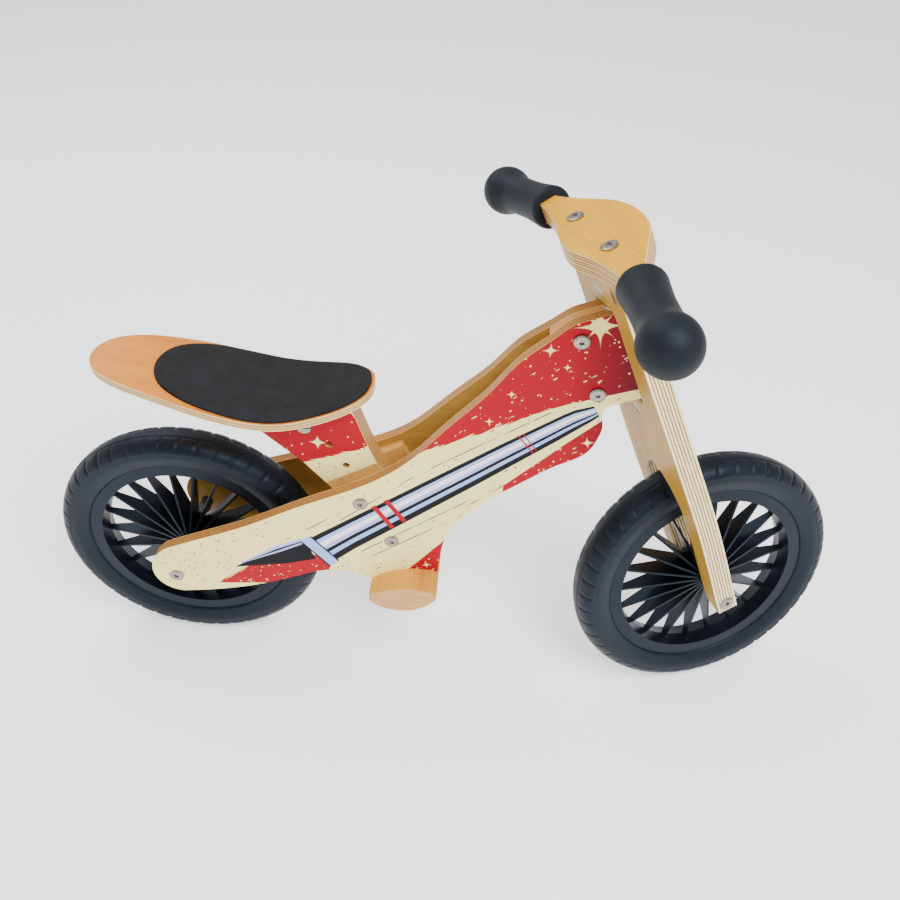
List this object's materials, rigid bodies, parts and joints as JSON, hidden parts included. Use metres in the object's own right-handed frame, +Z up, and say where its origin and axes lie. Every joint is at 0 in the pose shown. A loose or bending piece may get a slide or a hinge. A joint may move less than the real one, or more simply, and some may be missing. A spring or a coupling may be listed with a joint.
{
  "type": "balance bike",
  "caption": "Pedal-less child's bike: two tapering ply side panels, leaning plate seat post, ply fork turning in a window around the head, swept ply handlebar and two foam-tyred spoked wheels",
  "frame": {"origin": "ground contact point of the rear tyre, on the bike's centre plane", "axes": "+X forward along the bike, +Y to the rider's left, +Z up"},
  "size_m": [0.8451, 0.3862, 0.5719],
  "materials": {
    "foam_tyre": "matte black closed-cell foam",
    "rim_plastic": "satin black moulded plastic",
    "grip_rubber": "matte black rubber",
    "printed_ply": "birch ply with a printed cream and red outer face, clear lacquer",
    "post_ply": "birch ply, printed above and clear lacquered below",
    "front_ply": "clear lacquered birch ply",
    "seat_ply": "clear lacquered bent birch ply",
    "pad_fabric": "thin black pad",
    "footrest_wood": "clear lacquered solid beech",
    "block_wood": "lacquered hardwood",
    "bush_plastic": "natural nylon",
    "spacer_plastic": "black plastic",
    "steel": "bright zinc plated steel"
  },
  "bodies": {
    "frame": {"footrest_bar": "footrest_wood", "footrest_screws": "steel", "head_block": "block_wood", "head_bushes": "bush_plastic", "head_clamp_bolts": "steel", "head_sleeve_nuts": "steel", "left_cheek_block": "block_wood", "left_side_panel": "printed_ply", "rear_axle_bolt": "steel", "rear_axle_nut": "steel", "rear_axle_spacers": "spacer_plastic", "right_cheek_block": "block_wood", "right_side_panel": "printed_ply", "seat_barrel_nut": "steel", "seat_board": "seat_ply", "seat_bolt": "steel", "seat_pad": "pad_fabric", "seat_post": "post_ply", "seat_post_clamp_bolts": "steel", "seat_post_sleeve_nuts": "steel", "seat_screws": "steel"},
    "rear_wheel": {"rear_tyre": "foam_tyre", "rear_wheel_bushes": "bush_plastic", "rear_wheel_rim": "rim_plastic"},
    "front_end": {"fork_plate": "front_ply", "front_axle_bolt": "steel", "front_axle_nut": "steel", "front_axle_spacers": "spacer_plastic", "handlebar_barrel_nuts": "steel", "handlebar_bolts": "steel", "handlebar_plate": "front_ply", "left_grip": "grip_rubber", "lower_pivot_bolt": "steel", "pivot_barrel_nuts": "steel", "right_grip": "grip_rubber", "upper_pivot_bolt": "steel", "upper_pivot_washer": "steel"},
    "front_wheel": {"front_tyre": "foam_tyre", "front_wheel_bushes": "bush_plastic", "front_wheel_rim": "rim_plastic"}
  },
  "joints": [
    {"name": "steering", "type": "hinge", "parent": "frame", "child": "front_end", "pos_m": [0.561, 0, 0.145], "axis": [-0.3795, 0, 0.9252], "range_deg": [-49, 9]},
    {"name": "front_wheel_spin", "type": "hinge", "parent": "front_end", "child": "front_wheel", "pos_m": [0.561, 0, 0.145], "axis": [-0.3164, 0.9397, -0.1298], "continuous": true},
    {"name": "rear_wheel_spin", "type": "hinge", "parent": "frame", "child": "rear_wheel", "pos_m": [0, 0, 0.145], "axis": [0, 1, 0], "continuous": true}
  ]
}
